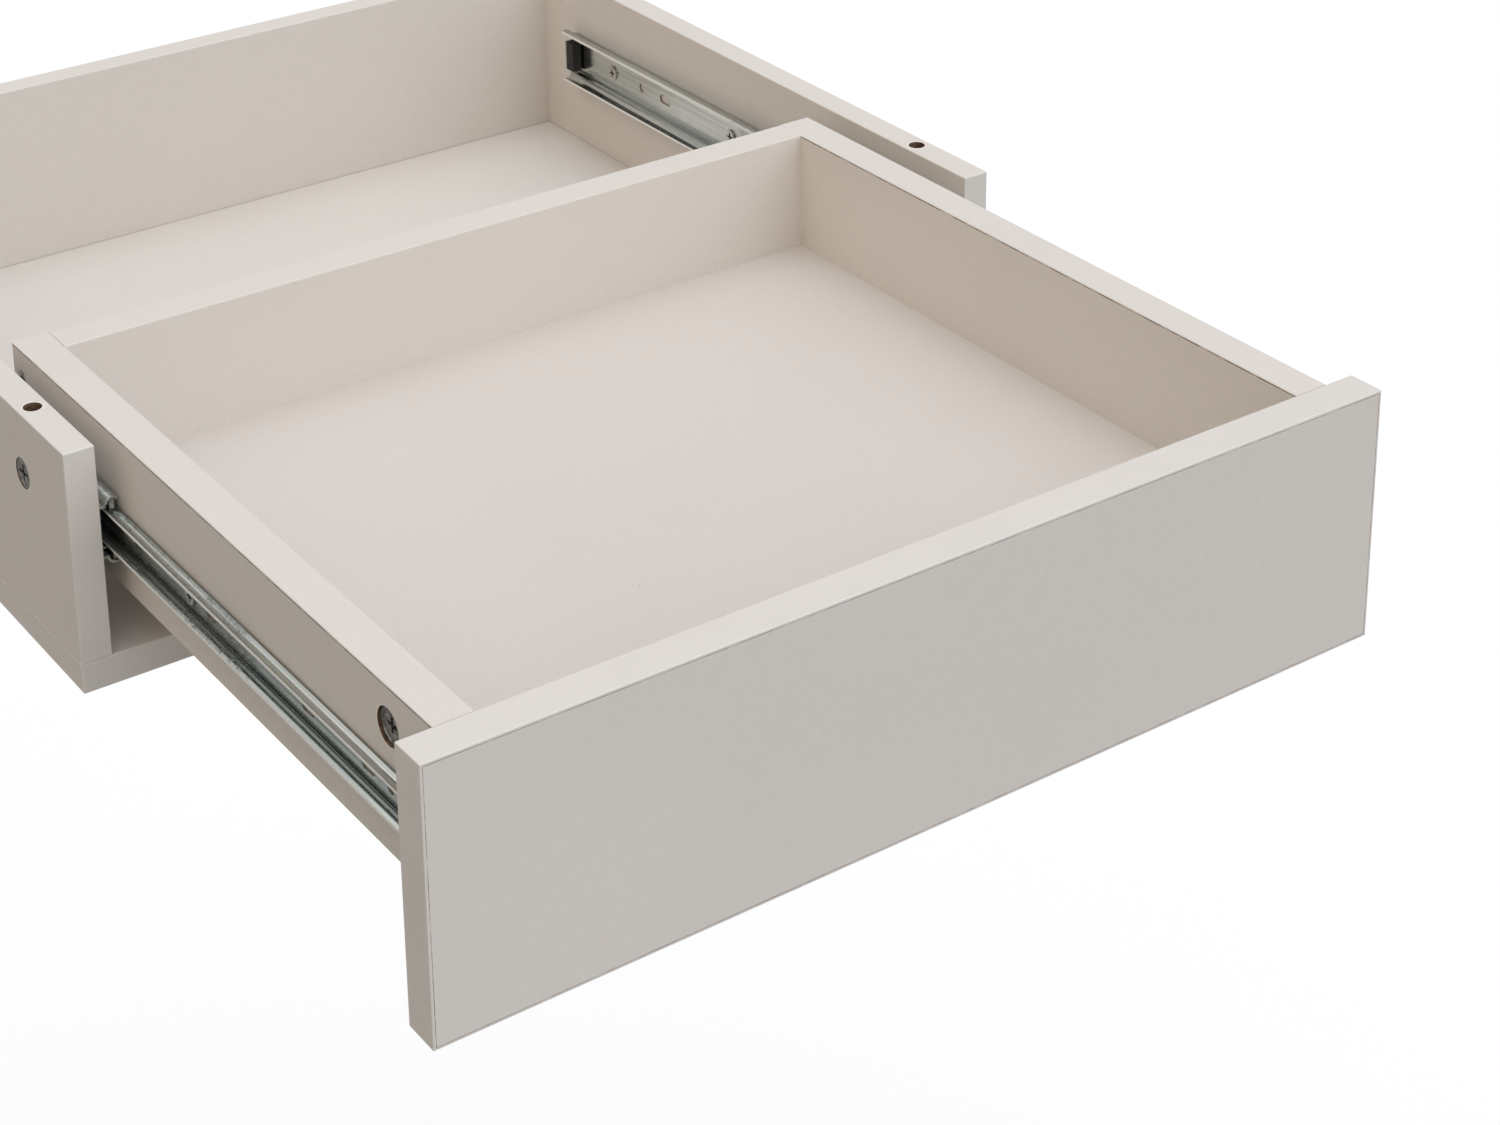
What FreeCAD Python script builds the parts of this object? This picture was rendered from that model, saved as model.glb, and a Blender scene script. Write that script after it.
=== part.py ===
import FreeCAD, Part
import Sketcher
import os
import re

# Under desk drawer: an open-topped housing that hangs below a desk top, and a drawer that runs
# in it on two-section ball bearing slides.
# Frame: origin at the centre of the four fixing holes, in the housing's top plane (the desk's
# underside). +X is to the right, +Y towards the back of the desk, +Z up. The drawer is drawn open.

SIZES = {
    # drawer front
    "front_width": 400,
    "front_height": 102,
    "front_thick": 15,
    "band_thick": 1,
    "front_round": 0.5,
    "board_round": 0.5,
    "top_gap": 2,
    # drawer box
    "drawer_width": 374,
    "drawer_height": 62.5,
    "drawer_depth": 316,
    "drawer_board": 15,
    "bottom_thick": 3,
    "bottom_rise": 7,
    "groove_deep": 6,
    # housing
    "housing_height": 97,
    "housing_depth": 345,
    "housing_board": 12,
    "slide_gap": 10,
    "opened": 219,
    # slides
    "slide_drop": 37.9,
    "sheet_thick": 1,
    "bend_radius": 1.4,
    "cabinet_rail_long": 300,
    "cabinet_web_high": 21,
    "cabinet_lip": 8.7,
    "cabinet_setback": 4.3,
    "drawer_rail_long": 296,
    "drawer_rail_high": 15,
    "drawer_rail_deep": 5.6,
    "drawer_setback": 1,
    "slot_high": 4.2,
    "slot_long": 9,
    "spare_radius": 2.2,
    "ball_radius": 2.78,
    "ball_play": 0.03,
    "ball_line": 9.6,
    "ball_out": 3.25,
    "ball_pitch": 12.5,
    "cage_long": 65,
    "cage_thick": 0.5,
    "cage_line": 8.6,
    "cage_web_out": 7.15,
    "cage_leg_gap": 0.25,
    "window_high": 8,
    "stop_setback": 1,
    "stop_wide": 2,
    "stop_long": 1.2,
    "cabinet_stop_high": 4.6,
    "cabinet_stop_gap": 0.5,
    "drawer_stop_high": 5,
    "drawer_stop_sunk": 1.2,
    "buffer_thick": 5.7,
    "buffer_wide": 5,
    "buffer_high": 14.6,
    "buffer_out": 0.8,
    "rear_tab_wide": 7,
    "rear_tab_high": 15,
    # fasteners
    "mount_hole_radius": 3.5,
    "mount_hole_deep": 20,
    "mount_inset": 40,
    "mount_cam_radius": 6,
    "mount_cam_deep": 9,
    "mount_cam_play": 0.15,
    "mount_cam_sunk": 0.3,
    "mount_cam_bite": 1,
    "mount_mouth_up": 2,
    "mount_mouth_long": 9,
    "mount_mouth_play": 0.8,
    "mount_recess_wide": 1.5,
    "mount_recess_deep": 1.5,
    "cam_radius": 6.6,
    "cam_bore_radius": 6.9,
    "cam_deep": 12.5,
    "cam_sunk": 1,
    "cam_setback": 28,
    "cam_drop": 15,
    "cam_end_play": 0.3,
    "cam_mouth_before": 10,
    "cam_mouth_after": 2,
    "cam_face_radius": 5.6,
    "cam_face_deep": 0.45,
    "cam_mark_out": 3.2,
    "cam_mark_long": 1.8,
    "cam_mark_wide": 1.2,
    "cam_cross_radius": 4.8,
    "cam_recess_wide": 1.7,
    "cam_recess_deep": 2.2,
    "bolt_radius": 3,
    "bolt_bore_radius": 4,
    "bolt_into_front": 11,
    "bolt_neck_radius": 2.4,
    "bolt_head_radius": 3.4,
    "bolt_head_long": 3.5,
    "bolt_end_gap": 0.5,
    "dowel_radius": 4,
    "dowel_half": 12,
    "dowel_drop": 44,
    "joint_screw_radius": 2.5,
    "joint_screw_long": 40,
    "joint_head_radius": 3.6,
    "joint_head_deep": 3,
    "rail_screw_radius": 1.75,
    "rail_screw_long": 11,
    "rail_head_radius": 3.2,
    "rail_head_high": 0.9,
    "rail_recess_deep": 1.6,
    "joint_recess_deep": 1.5,
    "recess_wide": 0.9,
    "recess_share": 0.62,
}

# Places along the slides, measured back from each rail's front end.
DRAWER_RAIL_SCREWS = (13, 165, 270)
DRAWER_RAIL_SPARES = (25.5,)
DRAWER_RAIL_SLOTS = (40, 80, 150, 215, 250)
CABINET_RAIL_SCREWS = (35, 165, 265)
CABINET_RAIL_SPARES = (110, 240)
CABINET_RAIL_SLOTS = (60, 130, 220)

NAMES = re.compile(r"\b(" + "|".join(sorted(SIZES, key=len, reverse=True)) + r")\b")

doc = FreeCAD.newDocument("UnderDeskDrawer")
nodes = []


def make_sheet():
    """Put the driving sizes in a spreadsheet, one alias for each."""
    sheet = doc.addObject("Spreadsheet::Sheet", "Sizes")
    for row, (alias, value) in enumerate(SIZES.items(), start=1):
        sheet.set(f"A{row}", alias)
        sheet.set(f"B{row}", str(value))
        sheet.setAlias(f"B{row}", alias)
    doc.recompute()


def bind(obj, prop, formula):
    """Bind a property to a formula in which sheet aliases stand as plain words."""
    obj.setExpression(prop, NAMES.sub(r"Sizes.\1", str(formula)))


def place(obj, x, y, z):
    bind(obj, "Placement.Base.x", x)
    bind(obj, "Placement.Base.y", y)
    bind(obj, "Placement.Base.z", z)


def box(name, low, size):
    """A block from its lowest corner and its size."""
    obj = doc.addObject("Part::Box", name)
    for prop, formula in zip(("Length", "Width", "Height"), size):
        bind(obj, prop, formula)
    place(obj, *low)
    return obj


def board(name, low, size, pick, radius="board_round"):
    """A board from its lowest corner and its size, with the edges that pick chooses rounded."""
    body = doc.addObject("PartDesign::Body", name)
    sketch = body.newObject("Sketcher::SketchObject", name + "_outline")
    plane = next(f for f in body.Origin.OriginFeatures if f.Role == "XY_Plane")
    sketch.AttachmentSupport = (plane, "")
    sketch.MapMode = "FlatFace"
    corners = [FreeCAD.Vector(x, y, 0) for x, y in ((0, 0), (10, 0), (10, 10), (0, 10))]
    for n in range(4):
        sketch.addGeometry(Part.LineSegment(corners[n], corners[(n + 1) % 4]), False)
    for n in range(4):
        sketch.addConstraint(Sketcher.Constraint("Coincident", n, 2, (n + 1) % 4, 1))
        sketch.addConstraint(Sketcher.Constraint("Vertical" if n % 2 else "Horizontal", n))
    sketch.addConstraint(Sketcher.Constraint("Coincident", 0, 1, -1, 1))
    wide = sketch.addConstraint(Sketcher.Constraint("DistanceX", 0, 1, 0, 2, 10))
    deep = sketch.addConstraint(Sketcher.Constraint("DistanceY", 1, 1, 1, 2, 10))
    bind(sketch, f"Constraints[{wide}]", size[0])
    bind(sketch, f"Constraints[{deep}]", size[1])
    pad = body.newObject("PartDesign::Pad", name + "_pad")
    pad.Profile = sketch
    bind(pad, "Length", size[2])
    doc.recompute()
    rounded = body.newObject("PartDesign::Fillet", name + "_arris")
    edges = [f"Edge{n}" for n, edge in enumerate(pad.Shape.Edges, start=1) if pick(edge)]
    rounded.Base = (pad, edges)
    bind(rounded, "Radius", radius)
    body.Tip = rounded
    place(body, *low)
    return body


def along_y(edge):
    return abs(edge.tangentAt(edge.FirstParameter).y) > 0.9


def along_x(edge):
    return abs(edge.tangentAt(edge.FirstParameter).x) > 0.9


def not_at_back(edge):
    """The edges of an edge band apart from those of the face that is glued down."""
    return edge.CenterOfMass.y < float(SIZES["band_thick"]) * 0.9


def every(edge):
    return True


TURNS = {
    "X": FreeCAD.Rotation(FreeCAD.Vector(0, 1, 0), 90),
    "-X": FreeCAD.Rotation(FreeCAD.Vector(0, 1, 0), -90),
    "Y": FreeCAD.Rotation(FreeCAD.Vector(1, 0, 0), -90),
    "-Y": FreeCAD.Rotation(FreeCAD.Vector(1, 0, 0), 90),
    "Z": FreeCAD.Rotation(),
    "-Z": FreeCAD.Rotation(FreeCAD.Vector(1, 0, 0), 180),
}


def rod(name, way, start, radius, length):
    """A round bar that runs from a point along one of the six axis directions."""
    obj = doc.addObject("Part::Cylinder", name)
    bind(obj, "Radius", radius)
    bind(obj, "Height", length)
    obj.Placement = FreeCAD.Placement(FreeCAD.Vector(), TURNS[way])
    place(obj, *start)
    return obj


def cone(name, way, start, radius_1, radius_2, length):
    """A tapered bar that runs from a point along one of the six axis directions."""
    obj = doc.addObject("Part::Cone", name)
    bind(obj, "Radius1", radius_1)
    bind(obj, "Radius2", radius_2)
    bind(obj, "Height", length)
    obj.Placement = FreeCAD.Placement(FreeCAD.Vector(), TURNS[way])
    place(obj, *start)
    return obj


def join(name, pieces):
    obj = doc.addObject("Part::MultiFuse", name)
    obj.Shapes = pieces
    return obj


def shared(name, pieces):
    """What the pieces have in common."""
    obj = doc.addObject("Part::MultiCommon", name)
    obj.Shapes = pieces
    return obj


def cut(name, base, tools):
    obj = doc.addObject("Part::Cut", name)
    obj.Base = base
    obj.Tool = tools[0] if len(tools) == 1 else group(name + "_tools", tools)
    return obj


def group(name, pieces):
    obj = doc.addObject("Part::Compound", name)
    obj.Links = pieces
    return obj


def mirrored(name, source):
    """The same piece on the other side of the centre plane."""
    obj = doc.addObject("Part::Mirroring", name)
    obj.Source = source
    obj.Base = (0, 0, 0)
    obj.Normal = (1, 0, 0)
    return obj


def node(obj, label):
    """Name a finished piece: its label is its file's name."""
    obj.Label = label
    nodes.append(obj)
    return obj


# Planes that several pieces share, as formulas of the sheet's sizes.
DRAWER_OUT = "drawer_width / 2"
INNER_OUT = "(drawer_width / 2 + slide_gap)"
OUTER_OUT = "(drawer_width / 2 + slide_gap + housing_board)"
HOUSING_FRONT = "-housing_depth / 2"
FRONT_BACK = "(-housing_depth / 2 - opened)"
DRAWER_TOP = "(-top_gap)"
DRAWER_LOW = "(-top_gap - drawer_height)"
FLOOR_LOW = "(-top_gap - drawer_height + bottom_rise)"
SHELF_TOP = "(housing_board - housing_height)"


def joint_screw(name, way, point):
    """A panel joint screw: countersunk head at the point, shank along the way, cross recess."""
    shank = rod(name + "_shank", way, point, "joint_screw_radius", "joint_screw_long")
    head = cone(name + "_head", way, point, "joint_head_radius", "joint_screw_radius", "joint_head_deep")
    whole = join(name + "_whole", [shank, head])
    return cut(name, whole, cross_recess(name, way, point, "joint_head_radius", "joint_recess_deep"))


def cross_recess(name, way, point, radius, deep, broad="recess_wide"):
    """Two crossed slots sunk into a head whose face is at the point."""
    x, y, z = point
    half = f"({radius} * recess_share)"
    slots = []
    for turn, wide in enumerate(((half, f"{broad} / 2"), (f"{broad} / 2", half))):
        if "X" in way:
            low_x = x if way == "X" else f"{x} - {deep}"
            low = (low_x, f"{y} - {wide[0]}", f"{z} - {wide[1]}")
            size = (deep, f"2 * {wide[0]}", f"2 * {wide[1]}")
        else:
            low_z = z if way == "Z" else f"{z} - {deep}"
            low = (f"{x} - {wide[0]}", f"{y} - {wide[1]}", low_z)
            size = (f"2 * {wide[0]}", f"2 * {wide[1]}", deep)
        slots.append(box(f"{name}_slot{turn}", low, size))
    return [join(name + "_recess", slots)]


def joint_screw_bore(name, way, point):
    """The hole that a joint screw fills."""
    shank = rod(name + "_bore", way, point, "joint_screw_radius", "joint_screw_long")
    sink = cone(name + "_sink", way, point, "joint_head_radius", "joint_screw_radius", "joint_head_deep")
    return join(name + "_hole", [shank, sink])


# ---------------------------------------------------------------------------------- housing

PANEL_MIDDLE = "(drawer_width / 2 + slide_gap + housing_board / 2)"
MOUNT_PLACES = ("(housing_depth / 2 - mount_inset)", "(mount_inset - housing_depth / 2)")
SHELF_SCREW_PLACES = (-140, 0, 130)
BACK_BOARD_SCREW_PLACES = (-100, 100)
BACK_SCREW_DROPS = (20, 65)
BACK_MIDDLE = "(housing_depth / 2 - housing_board / 2)"
MOUNT_CAM_MIDDLE = "(mount_cam_bite - mount_hole_deep - mount_cam_radius)"


def left_shelf_screws(make, prefix):
    """The screws that come up through the bottom board into the left panel's lower edge."""
    points = [(f"-{PANEL_MIDDLE}", y, "-housing_height") for y in SHELF_SCREW_PLACES]
    return [make(f"{prefix}{n}", "Z", point) for n, point in enumerate(points)]


def left_back_screws(make, prefix):
    """The screws that go through the left panel into the back board's end."""
    points = [(f"-{OUTER_OUT}", BACK_MIDDLE, -drop) for drop in BACK_SCREW_DROPS]
    return [make(f"{prefix}{n}", "X", point) for n, point in enumerate(points)]


def middle_shelf_screws(make, prefix):
    """The screws that come up through the bottom board into the back board's lower edge."""
    points = [(x, BACK_MIDDLE, "-housing_height") for x in BACK_BOARD_SCREW_PLACES]
    return [make(f"{prefix}{n}", "Z", point) for n, point in enumerate(points)]


def mount_cam_bores(prefix):
    """Bolt bores in the panel's top edge, each with its cam's bore in the outer face."""
    bores = []
    for n, y in enumerate(MOUNT_PLACES):
        top = (f"-{PANEL_MIDDLE}", y, "-mount_hole_deep")
        bores.append(rod(f"{prefix}_bolt{n}", "Z", top, "mount_hole_radius", "mount_hole_deep"))
        side = (f"-{OUTER_OUT}", y, MOUNT_CAM_MIDDLE)
        wide = "mount_cam_radius + mount_cam_play"
        bores.append(rod(f"{prefix}_cam{n}", "X", side, wide, "mount_cam_deep"))
    return bores


def cabinet_screw_bores(prefix):
    """Pilot holes for the cabinet rail's screws, in the left panel's inner face."""
    bores = []
    for n, back in enumerate(CABINET_RAIL_SCREWS):
        point = (f"-{INNER_OUT}", f"{HOUSING_FRONT} + cabinet_setback + {back}", "-slide_drop")
        bores.append(rod(f"{prefix}{n}", "-X", point, "rail_screw_radius", "rail_screw_long - sheet_thick"))
    return bores


def make_panels():
    blank = board(
        "panel_blank",
        (f"-{OUTER_OUT}", f"{HOUSING_FRONT} + band_thick", SHELF_TOP),
        ("housing_board", "housing_depth - band_thick", "housing_height - housing_board"),
        along_y,
    )
    bores = mount_cam_bores("panel_mount") + cabinet_screw_bores("panel_rail")
    bores += left_shelf_screws(joint_screw_bore, "panel_shelf")
    bores += left_back_screws(joint_screw_bore, "panel_back")
    left = cut("panel", blank, bores)
    node(left, "left_panel")
    node(mirrored("panel_mirror", left), "right_panel")


def make_bottom_board():
    blank = board(
        "shelf_blank",
        (f"-{OUTER_OUT}", f"{HOUSING_FRONT} + band_thick", "-housing_height"),
        (f"2 * {OUTER_OUT}", "housing_depth - band_thick", "housing_board"),
        along_y,
    )
    left = left_shelf_screws(joint_screw_bore, "shelf_left")
    right = [mirrored(f"shelf_right{n}", bore) for n, bore in enumerate(left)]
    middle = middle_shelf_screws(joint_screw_bore, "shelf_middle")
    node(cut("shelf", blank, left + right + middle), "bottom_board")


def make_back_board():
    blank = board(
        "back_blank",
        (f"-{INNER_OUT}", "housing_depth / 2 - housing_board", SHELF_TOP),
        (f"2 * {INNER_OUT}", "housing_board", "housing_height - housing_board"),
        along_x,
    )
    left = left_back_screws(joint_screw_bore, "back_left")
    right = [mirrored(f"back_right{n}", bore) for n, bore in enumerate(left)]
    middle = middle_shelf_screws(joint_screw_bore, "back_low")
    node(cut("back", blank, left + right + middle), "back_board")


def make_housing_bands():
    """The edge bands on the front edges of the two panels and the bottom board."""
    left = board(
        "band_left",
        (f"-{OUTER_OUT}", HOUSING_FRONT, SHELF_TOP),
        ("housing_board", "band_thick", "housing_height - housing_board"),
        not_at_back,
    )
    low = board(
        "band_low",
        (f"-{OUTER_OUT}", HOUSING_FRONT, "-housing_height"),
        (f"2 * {OUTER_OUT}", "band_thick", "housing_board"),
        not_at_back,
    )
    node(group("bands", [left, mirrored("band_right", left), low]), "housing_edge_bands")


def make_housing_fasteners():
    left = left_shelf_screws(joint_screw, "shelf_screw")
    right = [mirrored(f"shelf_screw_r{n}", screw) for n, screw in enumerate(left)]
    middle = middle_shelf_screws(joint_screw, "shelf_screw_m")
    node(group("shelf_screws", left + right + middle), "bottom_board_screws")
    left = left_back_screws(joint_screw, "back_screw")
    right = [mirrored(f"back_screw_r{n}", screw) for n, screw in enumerate(left)]
    node(group("back_screws", left + right), "back_board_screws")
    cams = [mounting_cam(f"mount_cam{n}", y) for n, y in enumerate(MOUNT_PLACES)]
    cams += [mirrored(f"mount_cam_r{n}", cam) for n, cam in enumerate(cams)]
    node(group("mount_cams", cams), "mounting_cams")


def mounting_cam(name, y):
    """A cam that grips the head of a bolt from the desk top, with a cross recess to turn it."""
    face = (f"-{OUTER_OUT} + mount_cam_sunk", y, MOUNT_CAM_MIDDLE)
    body = rod(name + "_body", "X", face, "mount_cam_radius", "mount_cam_deep - mount_cam_sunk")
    mouth = (f"-{PANEL_MIDDLE}", y, "mount_mouth_up - mount_hole_deep")
    gap = rod(name + "_gap", "-Z", mouth, "mount_hole_radius + mount_mouth_play", "mount_mouth_long")
    recess = cross_recess(name, "X", face, "mount_cam_radius", "mount_recess_deep", "mount_recess_wide")
    return cut(name, body, [gap] + recess)


# ----------------------------------------------------------------------------------- slides


def at_low_x(edge):
    return along_y(edge) and edge.CenterOfMass.x < SIZES["bend_radius"]


def at_high_x(edge):
    return along_y(edge) and edge.CenterOfMass.x > SIZES["bend_radius"]


def raceways(name, front, long):
    """A rail's two ball raceways, and the same two grown by the thickness of the sheet."""
    races = []
    crests = []
    for n, up in enumerate((1, -1)):
        start = (f"-({DRAWER_OUT} + ball_out)", front, f"-slide_drop + {up} * ball_line")
        race = "ball_radius + ball_play"
        races.append(rod(f"{name}_race{n}", "Y", start, race, long))
        crests.append(rod(f"{name}_crest{n}", "Y", start, race + " + sheet_thick", long))
    return races, crests


def cabinet_channel(front):
    """The fixed rail's profile: a web, two shelves, and a lip that wraps over each row of balls."""
    long = "cabinet_rail_long"
    low = "-slide_drop - cabinet_web_high / 2"
    web = f"-{INNER_OUT}"
    races, crests = raceways("cab", front, long)
    shelf = "slide_gap - ball_out"
    skin = board("cab_skin", (web, front, low), (shelf, long, "cabinet_web_high"), at_low_x, "bend_radius")
    reach = box(
        "cab_reach",
        (web, front, "-slide_drop - cabinet_web_high"),
        ("cabinet_lip", long, "2 * cabinet_web_high"),
    )
    wraps = shared("cab_wraps", [reach, join("cab_crests", crests)])
    hollow = board(
        "cab_hollow",
        (f"{web} + sheet_thick", front, f"{low} + sheet_thick"),
        ("slide_gap", long, "cabinet_web_high - 2 * sheet_thick"),
        at_low_x,
        "bend_radius - sheet_thick",
    )
    room = join("cab_room", [hollow] + races)
    return cut("cab_channel", join("cab_body", [skin, wraps]), [room])


def drawer_channel(front):
    """The moving rail's C profile, open outwards, with a raceway pressed into each flange."""
    long = "drawer_rail_long"
    low = "-slide_drop - drawer_rail_high / 2"
    far = f"-({DRAWER_OUT} + drawer_rail_deep)"
    races, crests = raceways("draw", front, long)
    size = ("drawer_rail_deep", long, "drawer_rail_high")
    skin = board("draw_skin", (far, front, low), size, at_high_x, "bend_radius")
    hollow = board(
        "draw_hollow",
        (far, front, f"{low} + sheet_thick"),
        ("drawer_rail_deep - sheet_thick", long, "drawer_rail_high - 2 * sheet_thick"),
        at_high_x,
        "bend_radius - sheet_thick",
    )
    profile = cut("draw_profile", skin, [hollow])
    pressed = shared("draw_pressed", [skin, join("draw_crests", crests)])
    return cut("draw_channel", join("draw_body", [profile, pressed]), races)


def web_holes(name, out, front, slots, spares, screws):
    """The round-ended slots, the empty round holes and the screw holes through a rail's web."""
    x = f"-({DRAWER_OUT} + {out}) - sheet_thick / 2"
    through = "2 * sheet_thick"
    straight = "(slot_long - slot_high)"
    holes = []
    for n, back in enumerate(slots):
        y = f"{front} + {back}"
        middle = box(
            f"{name}_slot_mid{n}",
            (x, f"{y} - {straight} / 2", "-slide_drop - slot_high / 2"),
            (through, straight, "slot_high"),
        )
        ends = []
        for side in ("-", "+"):
            start = (x, f"{y} {side} {straight} / 2", "-slide_drop")
            ends.append(rod(f"{name}_slot_end{n}", "X", start, "slot_high / 2", through))
        holes.append(join(f"{name}_slot{n}", [middle] + ends))
    rounds = [(back, "spare_radius") for back in spares]
    rounds += [(back, "rail_screw_radius") for back in screws]
    for n, (back, radius) in enumerate(rounds):
        start = (x, f"{front} + {back}", "-slide_drop")
        holes.append(rod(f"{name}_hole{n}", "X", start, radius, through))
    return holes


def stop_pair(name, y, inner, high):
    """Two tabs in the ball tracks, above and below the slide's middle, that stop the ball cage."""
    x = f"-({DRAWER_OUT} + ball_out) - stop_wide / 2"
    size = ("stop_wide", "stop_long", high)
    above = box(name + "_above", (x, y, f"-slide_drop + {inner}"), size)
    below = box(name + "_below", (x, y, f"-slide_drop - {inner} - {high}"), size)
    return [above, below]


def make_cabinet_rails():
    """The fixed rails, screwed to the housing's panels, with a rear buffer tab and cage stops."""
    front = f"{HOUSING_FRONT} + cabinet_setback"
    body = cabinet_channel(front)
    spares, screws = CABINET_RAIL_SPARES, CABINET_RAIL_SCREWS
    holes = web_holes("cab", "slide_gap", front, CABINET_RAIL_SLOTS, spares, screws)
    pierced = cut("cab_pierced", body, holes)
    rear = box(
        "cab_rear_tab",
        (f"-{INNER_OUT}", f"{front} + cabinet_rail_long - sheet_thick", "-slide_drop - rear_tab_high / 2"),
        ("rear_tab_wide", "sheet_thick", "rear_tab_high"),
    )
    inner = "(drawer_rail_high / 2 + cabinet_stop_gap)"
    stops = stop_pair("cab_stop", f"{front} + stop_setback", inner, "cabinet_stop_high")
    left = join("cab_rail", [pierced, rear] + stops)
    node(left, "cabinet_rail_left")
    node(mirrored("cab_rail_mirror", left), "cabinet_rail_right")


def make_drawer_rails():
    """The moving rails, screwed to the drawer's sides, with cage stops at the rear."""
    front = f"{FRONT_BACK} + drawer_setback"
    body = drawer_channel(front)
    spares, screws = DRAWER_RAIL_SPARES, DRAWER_RAIL_SCREWS
    holes = web_holes("draw", "sheet_thick", front, DRAWER_RAIL_SLOTS, spares, screws)
    pierced = cut("draw_pierced", body, holes)
    y = f"{front} + drawer_rail_long - stop_setback - stop_long"
    inner = "(drawer_rail_high / 2 - drawer_stop_sunk)"
    left = join("draw_rail", [pierced] + stop_pair("draw_stop", y, inner, "drawer_stop_high"))
    node(left, "drawer_rail_left")
    node(mirrored("draw_rail_mirror", left), "drawer_rail_right")


def rail_screw(name, way, point):
    """A rail screw with a thin flat head whose underside is at the point."""
    x, y, z = point
    back = "-X" if way == "X" else "X"
    head = rod(name + "_head", back, point, "rail_head_radius", "rail_head_high")
    shank = rod(name + "_shank", way, point, "rail_screw_radius", "rail_screw_long")
    whole = join(name + "_whole", [head, shank])
    sign = "-" if way == "X" else "+"
    face = (f"{x} {sign} rail_head_high", y, z)
    return cut(name, whole, cross_recess(name, way, face, "rail_head_radius", "rail_recess_deep"))


def make_rail_screws():
    left = []
    for n, back in enumerate(CABINET_RAIL_SCREWS):
        point = (f"-{INNER_OUT} + sheet_thick", f"{HOUSING_FRONT} + cabinet_setback + {back}", "-slide_drop")
        left.append(rail_screw(f"cab_screw{n}", "-X", point))
    right = [mirrored(f"cab_screw_r{n}", screw) for n, screw in enumerate(left)]
    node(group("cab_screws", left + right), "cabinet_rail_screws")
    left = []
    for n, back in enumerate(DRAWER_RAIL_SCREWS):
        point = (f"-{DRAWER_OUT} - sheet_thick", f"{FRONT_BACK} + drawer_setback + {back}", "-slide_drop")
        left.append(rail_screw(f"draw_screw{n}", "X", point))
    right = [mirrored(f"draw_screw_r{n}", screw) for n, screw in enumerate(left)]
    node(group("draw_screws", left + right), "drawer_rail_screws")


def make_buffers():
    """Soft buffers on the cabinet rails' rear tabs, where the drawer rails' ends come to rest."""
    x = f"-{INNER_OUT} + sheet_thick + buffer_out"
    y = f"{HOUSING_FRONT} + cabinet_setback + cabinet_rail_long - sheet_thick - buffer_thick"
    size = ("buffer_wide", "buffer_thick", "buffer_high")
    left = box("buffer", (x, y, "-slide_drop - buffer_high / 2"), size)
    node(group("buffers", [left, mirrored("buffer_r", left)]), "rail_buffers")


# The cage's middle, halfway between the two rails' stops.
CAGE_MIDDLE = (
    "(-housing_depth / 2 + (cabinet_setback + drawer_setback - opened + drawer_rail_long) / 2)"
)
BALLS_PER_ROW = 5


def ball_places():
    """Where the balls sit along the cage, evenly about its middle."""
    middle = (BALLS_PER_ROW - 1) / 2
    return [f"{CAGE_MIDDLE} + {n - middle} * ball_pitch" for n in range(BALLS_PER_ROW)]


def make_cages():
    """The ball cages: a bent strip whose two legs lie in the ball tracks, pierced for the balls."""
    front = f"{CAGE_MIDDLE} - cage_long / 2"
    far = f"-({DRAWER_OUT} + cage_web_out + cage_thick)"
    half = "(cage_line + cage_thick / 2)"
    web = box("cage_web", (far, front, f"-slide_drop - {half}"), ("cage_thick", "cage_long", f"2 * {half}"))
    leg = ("cage_web_out + cage_thick - cage_leg_gap", "cage_long", "cage_thick")
    legs = [
        box(f"cage_leg{n}", (far, front, f"-slide_drop + {up} * cage_line - cage_thick / 2"), leg)
        for n, up in enumerate((1, -1))
    ]
    openings = []
    for n, y in enumerate(ball_places()):
        start = (f"-({DRAWER_OUT} + ball_out)", y, "-slide_drop - ball_line")
        openings.append(rod(f"cage_hole{n}", "Z", start, "ball_radius", "2 * ball_line"))
        low = (f"{far} - cage_thick", f"{y} - ball_pitch / 4", "-slide_drop - window_high / 2")
        openings.append(box(f"cage_window{n}", low, ("3 * cage_thick", "ball_pitch / 2", "window_high")))
    left = cut("cage", join("cage_strip", [web] + legs), openings)
    node(left, "ball_cage_left")
    node(mirrored("cage_mirror", left), "ball_cage_right")


def make_balls():
    balls = []
    for n, y in enumerate(ball_places()):
        for k, up in enumerate((1, -1)):
            ball = doc.addObject("Part::Sphere", f"ball{n}{k}")
            bind(ball, "Radius", "ball_radius")
            place(ball, f"-({DRAWER_OUT} + ball_out)", y, f"-slide_drop + {up} * ball_line")
            balls.append(ball)
    left = group("ball_set", balls)
    node(left, "balls_left")
    node(mirrored("ball_set_mirror", left), "balls_right")


# ----------------------------------------------------------------------------------- drawer

SIDE_MIDDLE = "(drawer_width / 2 - drawer_board / 2)"


def front_bolt_bore(name):
    start = (f"-{SIDE_MIDDLE}", f"{FRONT_BACK} - bolt_into_front", f"{DRAWER_TOP} - cam_drop")
    return rod(name, "Y", start, "bolt_radius", "bolt_into_front")


def dowel(name):
    start = (f"-{SIDE_MIDDLE}", f"{FRONT_BACK} - dowel_half", f"{DRAWER_TOP} - dowel_drop")
    return rod(name, "Y", start, "dowel_radius", "2 * dowel_half")


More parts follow.
